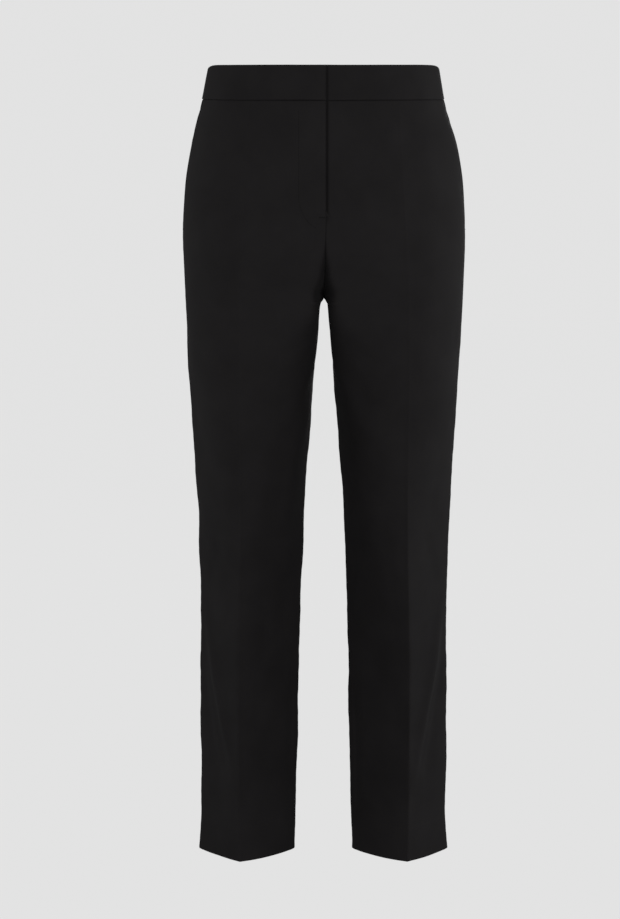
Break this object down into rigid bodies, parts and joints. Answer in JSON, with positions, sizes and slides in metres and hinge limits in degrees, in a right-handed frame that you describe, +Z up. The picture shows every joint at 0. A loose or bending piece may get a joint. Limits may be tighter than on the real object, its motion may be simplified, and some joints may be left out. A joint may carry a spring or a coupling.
{
  "type": "chino trousers",
  "caption": "Slim straight tailored chino trousers with pressed creases, a plain waistband, a concealed fly and slanted side pockets, hollow as when worn.",
  "frame": {"origin": "middle of the waist opening, level with the top edge of the waistband", "axes": "+Z up along the legs towards the waist, +X to the wearer's left, -Y to the front"},
  "size_m": [0.3404, 0.2379, 0.9692],
  "materials": {
    "cloth": "matt woven suiting with pressed creases",
    "zip_tape": "matt woven tape",
    "metal": "satin"
  },
  "bodies": {
    "root": {"front_right": "cloth", "front_left": "cloth", "back_right": "cloth", "back_left": "cloth", "pocket_facing_right": "cloth", "pocket_facing_left": "cloth", "waistband_right": "cloth", "waistband_left": "cloth", "fly_shield": "cloth", "zip_tape": "zip_tape", "zip_slider": "metal", "zip_pull": "metal", "waist_hook": "metal", "waist_bar": "metal"}
  },
  "joints": []
}
